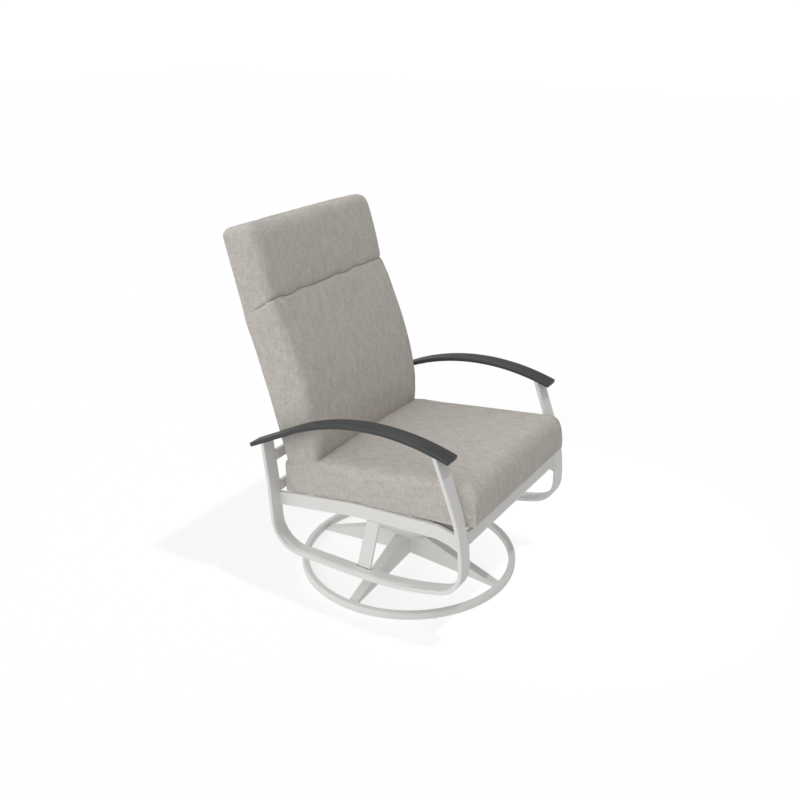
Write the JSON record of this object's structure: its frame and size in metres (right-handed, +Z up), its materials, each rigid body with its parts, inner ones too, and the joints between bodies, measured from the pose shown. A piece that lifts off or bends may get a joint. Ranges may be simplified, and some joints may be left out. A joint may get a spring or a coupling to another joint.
{
  "type": "outdoor swivel rocking chair",
  "caption": "Outdoor swivel rocking chair with a round ring base, spring rocking mechanism, bent flat-bar side frames, curved dark arms and thick seat and back cushions.",
  "frame": {"origin": "centre of the overall box on the floor, under the glides", "axes": "+Z up, -Y towards the front that the sitter faces, +X to the sitter's left"},
  "size_m": [0.7179, 0.8792, 1.1428],
  "materials": {
    "powder_coat": "warm white powder coat, fine satin texture",
    "arm_coat": "dark grey coat with a fine lengthwise grain, satin",
    "fabric": "greige slub weave outdoor cloth, matt",
    "bushing_plastic": "black bearing plastic",
    "glide_plastic": "grey plastic",
    "rubber": "black rubber",
    "steel": "zinc-plated steel",
    "spring_steel": "oiled spring steel"
  },
  "bodies": {
    "base": {"base_ring": "powder_coat", "floor_glides": "glide_plastic", "spoke_front": "powder_coat", "spoke_rear": "powder_coat", "spoke_left": "powder_coat", "spoke_right": "powder_coat", "hub_tube": "powder_coat", "hub_bushing_upper": "bushing_plastic", "hub_bushing_lower": "bushing_plastic", "thrust_bearing": "steel"},
    "swivel": {"swivel_spindle": "steel", "spindle_washer": "steel", "spindle_nut": "steel", "swivel_race": "steel", "swivel_bracket": "powder_coat", "spring_tray": "powder_coat", "rock_shaft": "steel", "shaft_nuts": "steel", "lower_spring_cups": "steel", "spring_front_left": "spring_steel", "spring_front_right": "spring_steel", "spring_rear_left": "spring_steel", "spring_rear_right": "spring_steel"},
    "seat": {"rocker_bracket": "powder_coat", "cross_tube_front": "powder_coat", "cross_tube_rear": "powder_coat", "seat_rail_left": "powder_coat", "seat_rail_right": "powder_coat", "front_rail": "powder_coat", "seat_slats": "powder_coat", "rear_rail_lower": "powder_coat", "rear_rail_upper": "powder_coat", "side_frame_left": "powder_coat", "side_frame_right": "powder_coat", "strut_left": "powder_coat", "strut_right": "powder_coat", "back_stile_left": "powder_coat", "back_stile_right": "powder_coat", "back_top_rail": "powder_coat", "back_slats": "powder_coat", "arm_left": "arm_coat", "arm_right": "arm_coat", "seat_cushion": "fabric", "back_cushion": "fabric", "rocker_bushings": "bushing_plastic", "bump_stops": "rubber", "upper_spring_cups": "steel", "mechanism_bolts": "steel", "mechanism_nuts": "steel", "arm_studs": "steel", "back_frame_bolts": "steel", "back_frame_nuts": "steel"}
  },
  "joints": [
    {"name": "swivel", "type": "hinge", "parent": "base", "child": "swivel", "pos_m": [0, -0.033, 0.124], "axis": [0, 0, 1], "continuous": true},
    {"name": "rock", "type": "hinge", "parent": "swivel", "child": "seat", "pos_m": [0, -0.033, 0.25], "axis": [-1, 0, 0], "range_deg": [-8, 12], "stiffness_Nm_per_rad": 650, "deforming": ["spring_front_left", "spring_front_right", "spring_rear_left", "spring_rear_right"]}
  ]
}
